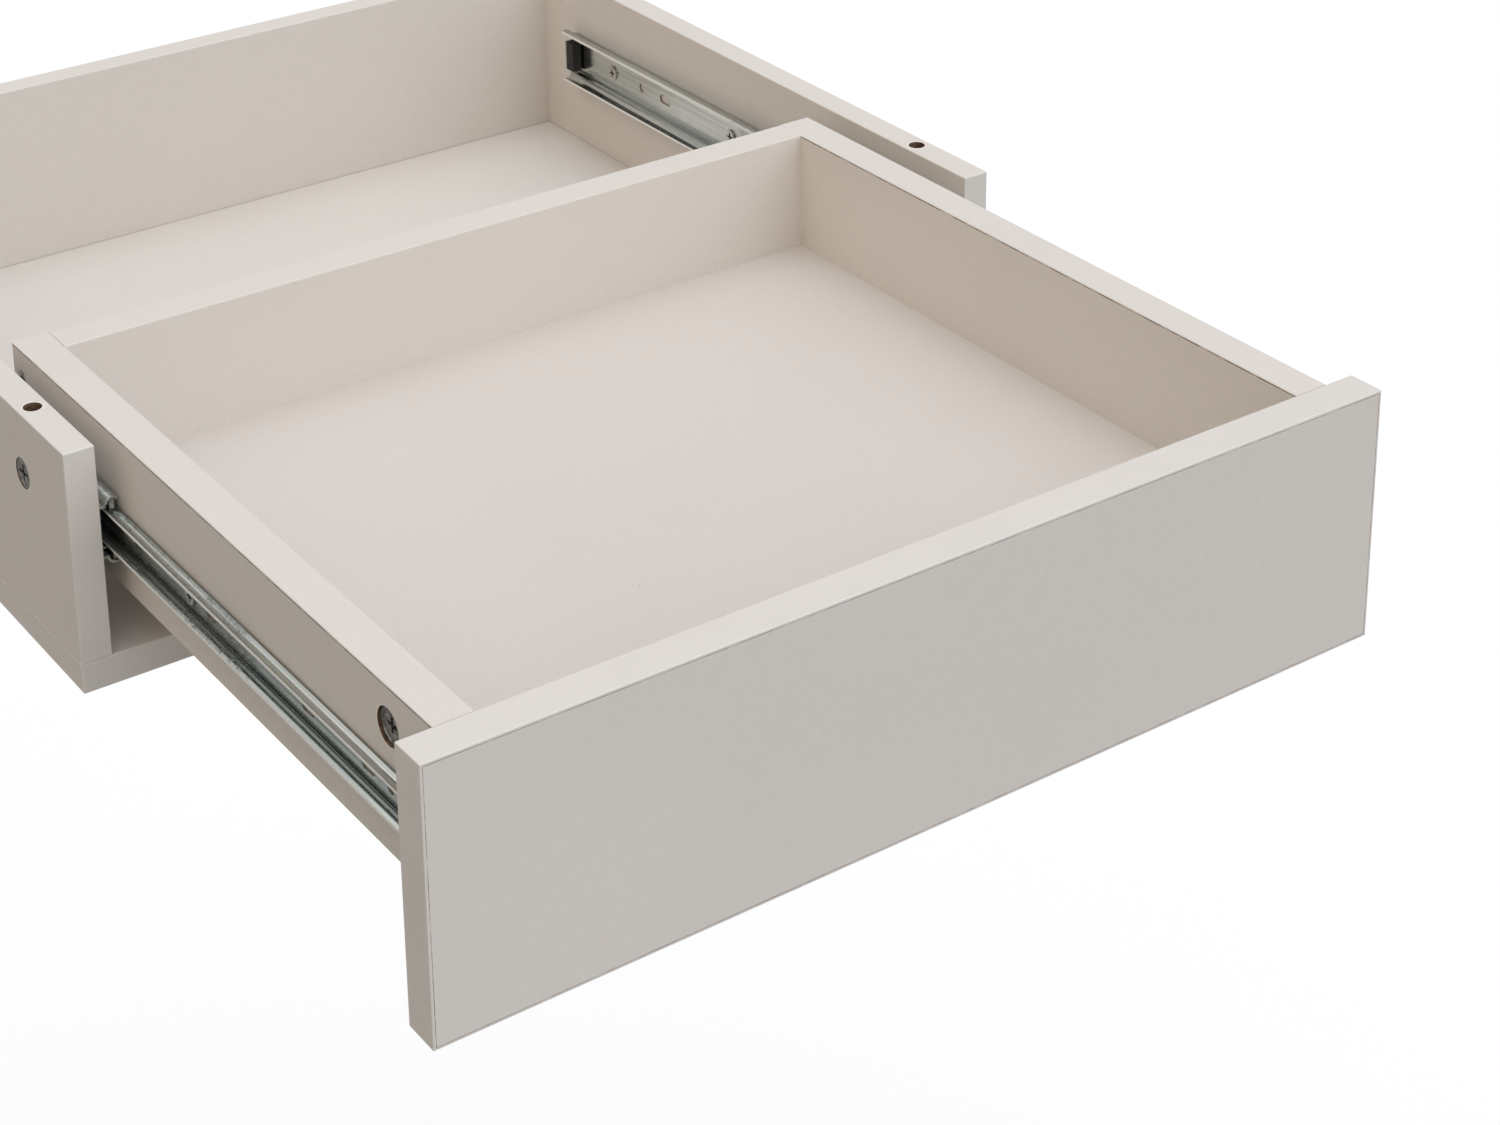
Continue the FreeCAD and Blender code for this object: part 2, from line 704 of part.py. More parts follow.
def make_drawer_front():
    """The front's core board, grooved and bored on its back face, and its four edge bands."""
    low = "(-top_gap - front_height)"
    y = f"{FRONT_BACK} - front_thick"
    core = box(
        "front_core",
        ("-front_width / 2 + band_thick", y, f"{low} + band_thick"),
        ("front_width - 2 * band_thick", "front_thick", "front_height - 2 * band_thick"),
    )
    groove = box(
        "front_groove",
        (f"-{DRAWER_OUT} + drawer_board - groove_deep", f"{FRONT_BACK} - groove_deep", FLOOR_LOW),
        ("drawer_width - 2 * drawer_board + 2 * groove_deep", "groove_deep", "bottom_thick"),
    )
    bores = [front_bolt_bore("front_bolt_bore"), dowel("front_dowel_bore")]
    bores += [mirrored(f"front_bore_r{n}", bore) for n, bore in enumerate(bores)]
    node(cut("front", core, [groove] + bores), "drawer_front")
    whole = board(
        "front_whole",
        ("-front_width / 2", y, low),
        ("front_width", "front_thick", "front_height"),
        every,
        "front_round",
    )
    upright = box(
        "front_band_side",
        ("-front_width / 2", y, f"{low} + band_thick"),
        ("band_thick", "front_thick", "front_height - 2 * band_thick"),
    )
    level = [
        box(f"front_band_level{n}", ("-front_width / 2", y, z), ("front_width", "front_thick", "band_thick"))
        for n, z in enumerate((low, "-top_gap - band_thick"))
    ]
    bands = []
    for n, strip in enumerate([upright, mirrored("front_band_right", upright)] + level):
        bands.append(shared(f"front_band{n}", [whole, strip]))
    node(group("front_bands", bands), "front_edge_bands")


BACK_SCREW_POINTS = (12, 45)


def drawer_back_screws(make, prefix):
    """The screws through the drawer's left side into the back's end, above and below the rail."""
    y = f"{FRONT_BACK} + drawer_depth - drawer_board / 2"
    points = [(f"-{DRAWER_OUT}", y, f"{DRAWER_TOP} - {drop}") for drop in BACK_SCREW_POINTS]
    return [make(f"{prefix}{n}", "X", point) for n, point in enumerate(points)]


def make_drawer_sides():
    blank = board(
        "side_blank",
        (f"-{DRAWER_OUT}", FRONT_BACK, DRAWER_LOW),
        ("drawer_board", "drawer_depth", "drawer_height"),
        along_y,
    )
    groove = box(
        "side_groove",
        (f"-{DRAWER_OUT} + drawer_board - groove_deep", FRONT_BACK, FLOOR_LOW),
        ("groove_deep", "drawer_depth - drawer_board + groove_deep", "bottom_thick"),
    )
    cam_middle = f"{FRONT_BACK} + cam_setback"
    cam_z = f"{DRAWER_TOP} - cam_drop"
    bores = [
        rod(
            "side_cam_bore", "X", (f"-{DRAWER_OUT}", cam_middle, cam_z),
            "cam_bore_radius", "cam_deep + cam_end_play",
        ),
        rod("side_bolt_bore", "Y", (f"-{SIDE_MIDDLE}", FRONT_BACK, cam_z), "bolt_bore_radius", "cam_setback"),
        dowel("side_dowel_bore"),
    ]
    for n, back in enumerate(DRAWER_RAIL_SCREWS):
        point = (f"-{DRAWER_OUT}", f"{FRONT_BACK} + drawer_setback + {back}", "-slide_drop")
        bores.append(rod(f"side_pilot{n}", "X", point, "rail_screw_radius", "rail_screw_long - sheet_thick"))
    bores += drawer_back_screws(joint_screw_bore, "side_back")
    left = cut("side", blank, [groove] + bores)
    node(left, "drawer_left_side")
    node(mirrored("side_mirror", left), "drawer_right_side")


def make_drawer_back():
    blank = board(
        "rear_blank",
        (
            f"-{DRAWER_OUT} + drawer_board",
            f"{FRONT_BACK} + drawer_depth - drawer_board",
            DRAWER_LOW,
        ),
        ("drawer_width - 2 * drawer_board", "drawer_board", "drawer_height"),
        along_x,
    )
    groove = box(
        "rear_groove",
        (f"-{DRAWER_OUT} + drawer_board", f"{FRONT_BACK} + drawer_depth - drawer_board", FLOOR_LOW),
        ("drawer_width - 2 * drawer_board", "groove_deep", "bottom_thick"),
    )
    left = drawer_back_screws(joint_screw_bore, "rear_left")
    right = [mirrored(f"rear_right{n}", bore) for n, bore in enumerate(left)]
    node(cut("rear", blank, [groove] + left + right), "drawer_back")


def make_drawer_bottom():
    """The thin bottom panel, held in the grooves all round."""
    panel = box(
        "floor",
        (f"-{DRAWER_OUT} + drawer_board - groove_deep", f"{FRONT_BACK} - groove_deep", FLOOR_LOW),
        (
            "drawer_width - 2 * drawer_board + 2 * groove_deep",
            "drawer_depth - drawer_board + 2 * groove_deep",
            "bottom_thick",
        ),
    )
    node(panel, "drawer_bottom")


def make_front_cams():
    """The cams in the sides' outer faces and the bolts that they pull on."""
    cam_z = f"{DRAWER_TOP} - cam_drop"
    middle = (f"-{DRAWER_OUT} + cam_sunk", f"{FRONT_BACK} + cam_setback", cam_z)
    body = rod("cam_body", "X", middle, "cam_radius", "cam_deep - cam_sunk")
    inlet = (f"-{SIDE_MIDDLE}", f"{FRONT_BACK} + cam_setback - cam_mouth_before", cam_z)
    mouth = rod("cam_mouth", "Y", inlet, "bolt_bore_radius", "cam_mouth_before + cam_mouth_after")
    recess = cross_recess("cam", "X", middle, "cam_cross_radius", "cam_recess_deep", "cam_recess_wide")
    hollow = rod("cam_face", "X", middle, "cam_face_radius", "cam_face_deep")
    sunk = cut("cam_sunk", body, [mouth, hollow] + recess)
    mark = (middle[0], f"{middle[1]} + cam_mark_out", f"{cam_z} - cam_mark_wide / 2")
    pointer = box("cam_mark", mark, ("2 * cam_face_deep", "cam_mark_long", "cam_mark_wide"))
    cam = join("cam", [sunk, pointer])
    node(group("cams", [cam, mirrored("cam_r", cam)]), "front_cams")
    thread = front_bolt_bore("bolt_thread")
    neck_long = "cam_setback - bolt_end_gap - bolt_head_long"
    neck = rod("bolt_neck", "Y", (f"-{SIDE_MIDDLE}", FRONT_BACK, cam_z), "bolt_neck_radius", neck_long)
    shoulder = (f"-{SIDE_MIDDLE}", f"{FRONT_BACK} + {neck_long}", cam_z)
    head = rod("bolt_head", "Y", shoulder, "bolt_head_radius", "bolt_head_long")
    bolt = join("bolt", [thread, neck, head])
    node(group("bolts", [bolt, mirrored("bolt_r", bolt)]), "front_cam_bolts")
    pin = dowel("dowel")
    node(group("dowels", [pin, mirrored("dowel_r", pin)]), "front_dowels")


def make_drawer_back_screws():
    left = drawer_back_screws(joint_screw, "rear_screw")
    right = [mirrored(f"rear_screw_r{n}", screw) for n, screw in enumerate(left)]
    node(group("rear_screws", left + right), "drawer_back_screws")


def check_document():
    """Stop if any object failed or any piece has no sound shape."""
    for obj in doc.Objects:
        bad = [state for state in obj.State if state in ("Invalid", "Error")]
        if bad:
            raise RuntimeError(f"{obj.Name} ({obj.Label}) is {bad}")
    for obj in nodes:
        if obj.Shape.isNull() or not obj.Shape.isValid():
            raise RuntimeError(f"{obj.Label} has no sound shape")


def write_parts():
    os.makedirs("parts", exist_ok=True)
    for obj in nodes:
        obj.Shape.exportStep(f"parts/{obj.Label}.step")
        print(obj.Label, len(obj.Shape.Solids), round(obj.Shape.Volume, 1))


make_sheet()
make_panels()
make_bottom_board()
make_back_board()
make_housing_bands()
make_housing_fasteners()
make_cabinet_rails()
make_drawer_rails()
make_rail_screws()
make_buffers()
make_cages()
make_balls()
make_drawer_front()
make_drawer_sides()
make_drawer_back()
make_drawer_bottom()
make_front_cams()
make_drawer_back_screws()
doc.recompute()
check_document()
write_parts()
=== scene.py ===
import math
from collections import namedtuple

import bpy
from mathutils import Euler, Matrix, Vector


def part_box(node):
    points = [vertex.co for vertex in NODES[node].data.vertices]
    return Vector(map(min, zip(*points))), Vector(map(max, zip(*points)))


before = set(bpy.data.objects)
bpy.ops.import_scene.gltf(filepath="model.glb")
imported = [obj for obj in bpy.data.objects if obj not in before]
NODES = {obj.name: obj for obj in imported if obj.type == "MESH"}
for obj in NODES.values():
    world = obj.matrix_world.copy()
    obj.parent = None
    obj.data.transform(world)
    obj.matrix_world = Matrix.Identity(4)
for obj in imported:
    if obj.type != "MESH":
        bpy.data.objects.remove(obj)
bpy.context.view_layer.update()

MM = 0.001

# Linear colours of the real surfaces, some made darker or paler as painted shade and highlight, as
# said where they stand.
WHITE = (1.0, 1.0, 1.0)
GREIGE = (0.735, 0.690, 0.640)
GREIGE_FRONT = (0.740, 0.700, 0.655)
# The drawer floor's greige is darker than the sides' as painted shade.
GREIGE_FLOOR_SHADED = (0.685, 0.633, 0.586)
BAND = (0.742, 0.702, 0.655)
GLUE = (0.105, 0.062, 0.036)
CHIPBOARD = (0.230, 0.145, 0.085)
CHIP_DARK = (0.060, 0.034, 0.020)
GRIME = (0.330, 0.285, 0.240)
ZINC = (0.640, 0.680, 0.660)
# Dark zinc: mixed into the grease, and laid in the rails' hollows as painted shade.
ZINC_DARK = (0.120, 0.135, 0.125)
# Pale zinc for rubbed spots, also laid on arrises and cut edges as a painted highlight.
ZINC_RUBBED_AND_HIGHLIT = (0.900, 0.900, 0.870)
CAST_ZINC = (0.270, 0.255, 0.235)
SCREW_ZINC = (0.600, 0.600, 0.570)
# Pale plating for rubbed screw edges, partly a painted highlight.
SCREW_RUBBED_AND_HIGHLIT = (0.820, 0.820, 0.800)
GREASE = (0.090, 0.080, 0.050)
BALL = (0.720, 0.720, 0.710)
BALL_FILM = (0.360, 0.330, 0.260)
RUBBER = (0.018, 0.018, 0.019)
RUBBER_BLOOM = (0.055, 0.052, 0.048)
BEECH = (0.560, 0.370, 0.205)
BEECH_DARK = (0.400, 0.235, 0.115)

# A foil's print turns warmer in patches: what that does to its red, green and blue.
WARM_CAST = (1.01, 0.985, 0.975)

# How strongly a board's arrises are made pale, partly as wear and partly as a painted highlight,
# and those of the drawer's floor.
ARRIS_WEAR_AND_HIGHLIGHT = 0.35
FLOOR_ARRIS_WEAR_AND_HIGHLIGHT = 0.1

# The glue line of an edge band: its half width, and how far it lies below a side's top.
SEAM_HALF = 0.28 * MM
SIDE_SEAM_DROP = 0.62 * MM

# Bores in the boards: how much wider than their cams they are finished, and how deep. The upright
# ones are for bolts. A pale lip runs round each mouth: partly chipped foil, partly painted
# highlight.
FRONT_CAM_PLAY = 0.45 * MM
FRONT_CAM_BORE_DEEP = 12.9 * MM
MOUNTING_CAM_PLAY = 0.3 * MM
MOUNTING_CAM_BORE_DEEP = 9.2 * MM
BOLT_BORE_RADIUS = 3.7 * MM
BOLT_BORE_DEEP = 30 * MM
LIP_WIDE = 0.35 * MM
LIP_HIGH = 0.1 * MM

# Depths over which a bore's finish starts below the face, and ends past the bore's end.
BORE_START = (0.02 * MM, 0.06 * MM)
BORE_END = (0.3 * MM, 0.2 * MM)

# Where old grease lies, as shares of the moving rail's length from a rail's front end. An overrun
# takes it past a piece's end, so that it doesn't fade out there.
MOVING_RAIL_GREASE = (0.38, 0.97)
FIXED_RAIL_GREASE_END = 0.55
GREASE_OVERRUN = 20 * MM
GREASE_FADE = 12 * MM

# Distances from a sheared edge's plane over which its pale finish, partly a painted highlight,
# ends.
SHEARED_FADE = (0.16 * MM, 0.10 * MM)

# Rounds on the sharp edges of fasteners and rails.
FASTENER_ROUND = 0.12 * MM
RAIL_ROUND = 0.15 * MM
ROUND_SEGMENTS = 2
ROUND_FROM_ANGLE = 50
WELD_WITHIN = 0.002 * MM

SCREWS = (
    "bottom_board_screws", "back_board_screws", "drawer_back_screws",
    "cabinet_rail_screws", "drawer_rail_screws",
)
CAMS = ("front_cams", "mounting_cams")
MOVING_RAILS = ("drawer_rail_left", "drawer_rail_right")
FIXED_RAILS = ("cabinet_rail_left", "cabinet_rail_right")

# The studio: a floor as far down as under a real desk, three broad suns and a pale sky.
DESK_HEIGHT = 0.72
FLOOR_SIDE = 60
FLOOR_TONE = 0.33
FLOOR_LIFT = 0.66
SUNS = (
    # name, direction it shines from, colour, angle of its disc
    ("front", (0.35, -1.0, 0.45), (0.99, 1.05, 1.13), 60),
    ("overhead", (0.0, -0.05, 1.0), (0.39, 0.49, 0.61), 50),
    ("left", (-1.0, -0.45, 0.5), (0.27, 0.18, 0.07), 60),
)
GLOW_OVERHEAD = (1.10, 1.06, 1.03)

# The camera, placed from the drawer front's near top left corner, with turns in degrees.
CAMERA_FROM_CORNER = (-0.3692, -0.6912, 0.5254)
CAMERA_TURN = (70.381, 0.6896, -34.866)
CAMERA_LENS = 74.56
CAMERA_SENSOR = 36
CAMERA_SHIFT = (0.0253, -0.3990)
CAMERA_STRAY = 0.001


# ------------------------------------------------------------------------ material building


class Tree:
    """The node tree of a material or a world, with short calls for the nodes they share."""

    USUAL_NOISE = (0.3, 0.7)

    def __init__(self, owner):
        owner.use_nodes = True
        self.nodes = owner.node_tree.nodes
        self.links = owner.node_tree.links

    def add(self, kind, **settings):
        node = self.nodes.new("ShaderNode" + kind)
        for name, value in settings.items():
            setattr(node, name, value)
        return node

    def feed(self, socket, value):
        """Links another node's output to a socket, or sets the socket's own value."""
        if isinstance(value, bpy.types.NodeSocket):
            self.links.new(value, socket)
        elif socket.type == "RGBA" and len(value) == 3:
            socket.default_value = (*value, 1)
        else:
            socket.default_value = value

    def maths(self, kind, first, second=0.0):
        node = self.add("Math", operation=kind)
        self.feed(node.inputs[0], first)
        self.feed(node.inputs[1], second)
        return node.outputs[0]

    def plus(self, first, second):
        return self.maths("ADD", first, second)

    def minus(self, first, second):
        return self.maths("SUBTRACT", first, second)

    def times(self, first, second):
        return self.maths("MULTIPLY", first, second)

    def larger(self, first, second):
        return self.maths("MAXIMUM", first, second)

    def size(self, value):
        return self.maths("ABSOLUTE", value)

    def span(self, value, start, end, low=0.0, high=1.0):
        """The value's range start to end, taken to low to high and held there."""
        node = self.add("MapRange")
        for socket, number in zip(node.inputs, (value, start, end, low, high)):
            self.feed(socket, number)
        return node.outputs["Result"]

    def vary(self, noise, low, high):
        """Noise over its usual range, taken to low to high and held there."""
        return self.span(noise, *self.USUAL_NOISE, low, high)

    def vector(self, kind, first, second):
        node = self.add("VectorMath", operation=kind)
        self.feed(node.inputs[0], first)
        self.feed(node.inputs[1], second)
        return node.outputs["Vector"]

    def part(self, vector, letter):
        """A vector's part along an axis."""
        node = self.add("SeparateXYZ")
        self.feed(node.inputs[0], vector)
        return node.outputs[letter]

    def tone(self, color, factor):
        """The colour made lighter or darker by a factor."""
        node = self.add("VectorMath", operation="SCALE")
        self.feed(node.inputs[0], color)
        self.feed(node.inputs["Scale"], factor)
        return node.outputs["Vector"]

    def blend(self, share, first, second):
        """The first colour where the share is nothing, the second where it is one."""
        node = self.add("Mix", data_type="RGBA")
        colors = [socket for socket in node.inputs if socket.type == "RGBA"]
        self.feed(node.inputs[0], share)
        self.feed(colors[0], first)
        self.feed(colors[1], second)
        return next(socket for socket in node.outputs if socket.type == "RGBA")

    def cover(self, base, mask, share, color):
        """The base with a share of another colour laid over it where the mask is one."""
        return self.blend(self.times(mask, share), base, color)

    def seen(self):
        """One for what the camera sees directly, nothing for light on its way elsewhere."""
        return self.add("LightPath").outputs["Is Camera Ray"]


class Surface(Tree):
    """A new material. Its patterns are laid out in metres, in the object's own frame."""

    EDGE_SAMPLES = 6
    CAVITY_SAMPLES = 8

    # Cosines of the turn across an edge at which its mask, used for wear and painted highlights,
    # begins and is full.
    EDGE_COSINES = (0.995, 0.80)

    # Shares of a line's half width and of a cylinder's radius within which its mask is full.
    LINE_CORE = 0.45
    CYLINDER_CORE = 0.995

    def __init__(self, name):
        self.material = bpy.data.materials.new(name)
        super().__init__(self.material)
        self.shader = self.nodes["Principled BSDF"]
        self.place = self.add("TexCoord").outputs["Object"]

    def noise(self, scale, detail=2, rough=0.5, place=None):
        """Smooth noise, about scale lumps to the metre, with finer ones added by the detail."""
        node = self.add("TexNoise")
        self.feed(node.inputs["Vector"], place or self.place)
        self.feed(node.inputs["Scale"], scale)
        self.feed(node.inputs["Detail"], detail)
        self.feed(node.inputs["Roughness"], rough)
        return node.outputs["Fac"]

    def cells(self, scale):
        """How far the nearest of some scattered points is, in cells, scale cells to the metre."""
        node = self.add("TexVoronoi")
        self.feed(node.inputs["Vector"], self.place)
        self.feed(node.inputs["Scale"], scale)
        return node.outputs["Distance"]

    def stretched(self, factors):
        """The object's place, stretched along the axes, for drawn or brushed marks."""
        return self.vector("MULTIPLY", self.place, factors)

    def edges(self, width):
        """One on the object's sharp edges, fading to nothing within about the width."""
        bevel = self.add("Bevel", samples=self.EDGE_SAMPLES)
        self.feed(bevel.inputs["Radius"], width)
        turn = self.add("VectorMath", operation="DOT_PRODUCT")
        self.feed(turn.inputs[0], bevel.outputs["Normal"])
        self.feed(turn.inputs[1], self.add("NewGeometry").outputs["Normal"])
        return self.span(turn.outputs["Value"], *self.EDGE_COSINES)

    def cavity(self, reach, open_share=0.75, shut_share=0.15):
        """One deep in hollows narrower than the reach, nothing on open faces."""
        node = self.add("AmbientOcclusion", samples=self.CAVITY_SAMPLES)
        self.feed(node.inputs["Distance"], reach)
        return self.span(node.outputs["AO"], open_share, shut_share)

    def line(self, letter, at, half):
        """One on a thin line across an axis, with the given half width."""
        gap = self.size(self.minus(self.part(self.place, letter), at))
        return self.span(gap, half, half * self.LINE_CORE)

    def near_axis(self, middle, radius, axis):
        """One inside a cylinder round an axis through a point, nothing outside it."""
        across = [0.0 if letter == axis else 1.0 for letter in "XYZ"]
        flat = self.vector("MULTIPLY", self.vector("SUBTRACT", self.place, middle), across)
        away = self.add("VectorMath", operation="LENGTH")
        self.feed(away.inputs[0], flat)
        return self.span(away.outputs["Value"], radius, radius * self.CYLINDER_CORE)

    def bump(self, height, distance, strength, under=None):
        node = self.add("Bump")
        self.feed(node.inputs["Strength"], strength)
        self.feed(node.inputs["Distance"], distance)
        self.feed(node.inputs["Height"], height)
        if under is not None:
            self.feed(node.inputs["Normal"], under)
        return node.outputs["Normal"]

    def finish(self, color, roughness, normal=None, **values):
        self.feed(self.shader.inputs["Base Color"], color)
        self.feed(self.shader.inputs["Roughness"], roughness)
        if normal is not None:
            self.feed(self.shader.inputs["Normal"], normal)
        for name, value in values.items():
            self.feed(self.shader.inputs[name.replace("_", " ")], value)
        return self.material


# ------------------------------------------------------------------------- foil-faced boards


# A bore that runs in along an axis from a board's outer plane, on both sides of the origin.
# outer is that plane's distance from the origin along the axis, and deep is the bore's depth.
Bore = namedtuple("Bore", "middle radius axis outer deep")


def inside_bore(tree, bore):
    """One on a bore's walls and end, nothing on the face that it starts from."""
    away = tree.size(tree.part(tree.place, bore.axis))
    depth = tree.size(tree.minus(away, bore.outer))
    below_face = tree.span(depth, *BORE_START)
    above_end = tree.span(depth, *(bore.deep + past for past in BORE_END))
    within = tree.times(below_face, above_end)
    return tree.times(tree.near_axis(bore.middle, bore.radius, bore.axis), within)


def foil_print(tree, color):
    """The foil's printed colour: mottled from broad to fine, and warmer in patches."""
    broad = tree.vary(tree.noise(scale=7, detail=3), 0.985, 1.012)
    mottle = tree.vary(tree.noise(scale=420, detail=3, rough=0.6), 0.985, 1.015)
    fleck = tree.vary(tree.noise(scale=1900), 0.99, 1.01)
    shade = tree.times(tree.times(broad, mottle), fleck)
    warm_share = tree.span(tree.noise(scale=160), 0.35, 0.65, high=0.35)
    warmer = tuple(part * cast for part, cast in zip(color, WARM_CAST))
    return tree.blend(warm_share, tree.tone(color, shade), tree.tone(warmer, shade))


def foil_scuffs(tree):
    """Faint scuffs, longer than wide, only here and there."""
    strokes = tree.noise(scale=95, detail=5, rough=0.65, place=tree.stretched((1.0, 0.35, 1.0)))
    patches = tree.span(tree.noise(scale=11), 0.50, 0.66)
    return tree.times(tree.span(strokes, 0.70, 0.80), patches)


def foil_specks(tree):
    """Rare small specks."""
    rare = tree.span(tree.noise(scale=23, detail=1), 0.60, 0.64)
    return tree.times(tree.span(tree.cells(scale=62), 0.035, 0.022), rare)


def drill(tree, base, rough, color, bore):
    """A drilled hole: raw dark chipboard inside, and a pale lip round its mouth, partly chipped
    foil and partly a painted highlight.
    """
    chips = tree.span(tree.noise(scale=900, detail=4, rough=0.7), 0.35, 0.65)
    raw = tree.blend(chips, CHIP_DARK, CHIPBOARD)
    ring = bore._replace(radius=bore.radius + LIP_WIDE, outer=bore.outer + LIP_HIGH, deep=LIP_HIGH)
    # The pale lip round the mouth: partly chipped foil, partly a painted highlight.
    base = tree.cover(base, inside_bore(tree, ring), 0.5, tree.tone(color, 1.2))
    inside = inside_bore(tree, bore)
    return tree.blend(inside, base, raw), tree.plus(rough, tree.times(inside, 0.35))


def foil_surface(tree, color, bores, arris_wear_and_highlight=ARRIS_WEAR_AND_HIGHLIGHT):
    """Colour, roughness and normal of warm matte foil on board, with paler arrises, partly worn
    and partly a painted highlight.
    """
    scuffs = foil_scuffs(tree)
    base = tree.cover(foil_print(tree, color), scuffs, 0.22, GRIME)
    base = tree.cover(base, foil_specks(tree), 0.45, GRIME)
    # Paler arrises, broken up in patches: partly wear, partly a painted highlight.
    arris_patches = tree.span(tree.noise(scale=210, detail=3), 0.35, 0.75, low=0.25)
    pale_arris = tree.times(tree.edges(width=0.55 * MM), arris_patches)
    base = tree.cover(base, pale_arris, arris_wear_and_highlight, tree.tone(color, 1.16))
    rough = tree.vary(tree.noise(scale=34, detail=4), 0.50, 0.60)
    rough = tree.minus(rough, tree.times(scuffs, 0.10))
    for bore in bores:
        base, rough = drill(tree, base, rough, color, bore)
    wave = tree.bump(tree.noise(scale=55), distance=0.12 * MM, strength=0.25)
    orange_peel = tree.noise(scale=1250, rough=0.55)
    normal = tree.bump(orange_peel, distance=0.025 * MM, strength=0.35, under=wave)
    return base, rough, normal


def foil(name, color, bores=(), arris_wear_and_highlight=ARRIS_WEAR_AND_HIGHLIGHT):
    tree = Surface(name)
    base, rough, normal = foil_surface(tree, color, bores, arris_wear_and_highlight)
    return tree.finish(base, rough, normal, Specular_IOR_Level=0.42)


def seamed_foil(name, color, lines, bores=()):
    """Foil with thin brown glue lines, each (axis, place), where edge bands meet it."""
    tree = Surface(name)
    base, rough, normal = foil_surface(tree, color, bores)
    seam = 0.0
    for letter, at in lines:
        seam = tree.larger(seam, tree.line(letter, at, SEAM_HALF))
    broken = tree.span(tree.noise(scale=130, detail=3, rough=0.6), 0.34, 0.56, low=0.35)
    seam = tree.times(seam, broken)
    base = tree.blend(seam, base, GLUE)
    normal = tree.bump(tree.minus(1.0, seam), distance=0.06 * MM, strength=0.6, under=normal)
    return tree.finish(base, rough, normal, Specular_IOR_Level=0.42)


def edge_band(name, color):
    """Thin extruded band: a little smoother and paler than the foil, with fine trimming marks."""
    tree = Surface(name)
    drawn = tree.noise(scale=900, place=tree.stretched((0.05, 1.0, 0.05)))
    broad = tree.vary(tree.noise(scale=30, detail=3), 0.985, 1.012)
    base = tree.tone(color, tree.times(broad, tree.vary(drawn, 0.99, 1.01)))
    rim = tree.edges(width=0.55 * MM)
    nicks = tree.span(tree.noise(scale=260, detail=4, rough=0.7), 0.70, 0.78)
    base = tree.cover(base, tree.times(nicks, rim), 0.5, GRIME)
    # The paler rim on the arrises is a painted highlight.
    base = tree.cover(base, rim, 0.45, tree.tone(color, 1.14))
    rough = tree.vary(tree.noise(scale=60, detail=3), 0.38, 0.50)
    normal = tree.bump(drawn, distance=0.02 * MM, strength=0.3)
    normal = tree.bump(tree.noise(scale=1100), distance=0.015 * MM, strength=0.3, under=normal)
    return tree.finish(base, rough, normal, Specular_IOR_Level=0.45)


# ------------------------------------------------------------- metal, rubber and wooden pieces


def zinc_coat(tree, drawn, streaks):
    """Colour and roughness of bare zinc plating, streaked along and faintly spangled."""
    spangle = tree.cells(scale=150)
    streaked = tree.span(streaks, 0.36, 0.64)
    base = tree.blend(streaked, tree.tone(ZINC, 0.80), tree.tone(ZINC, 1.10))
    base = tree.blend(tree.span(spangle, 0.2, 0.8, high=0.15), base, tree.tone(ZINC, 0.75))
    rough = tree.plus(tree.vary(drawn, 0.12, 0.22), tree.span(spangle, 0.2, 0.8, high=0.05))
    return base, rough


def old_grease(tree, start, end):
    """Lumps of old grease, and a thinner film between them, over a stretch of the depth."""
    depth = tree.part(tree.place, "Y")
    begins = tree.span(depth, start, start + GREASE_FADE)
    ends = tree.span(depth, end, end - GREASE_FADE)
    stretch = tree.times(begins, ends)
    lumps = tree.span(tree.noise(scale=430, detail=5, rough=0.75), 0.50, 0.60)
    smeared = tree.noise(scale=70, detail=4, rough=0.6, place=tree.stretched((1, 0.25, 1)))
    film = tree.span(smeared, 0.40, 0.62)
    lumps = tree.times(stretch, tree.times(lumps, 0.6))
    return tree.larger(lumps, tree.times(stretch, tree.times(film, 0.30)))


def sheared_edge(tree, streaks, cut_at):
    """One on the cut faces at a distance to both sides of the middle, broken up by streaks."""
    off = tree.minus(tree.size(tree.part(tree.place, "X")), cut_at)
    cut = tree.span(tree.size(off), *SHEARED_FADE)
    return tree.times(cut, tree.span(streaks, 0.30, 0.45, low=0.55))


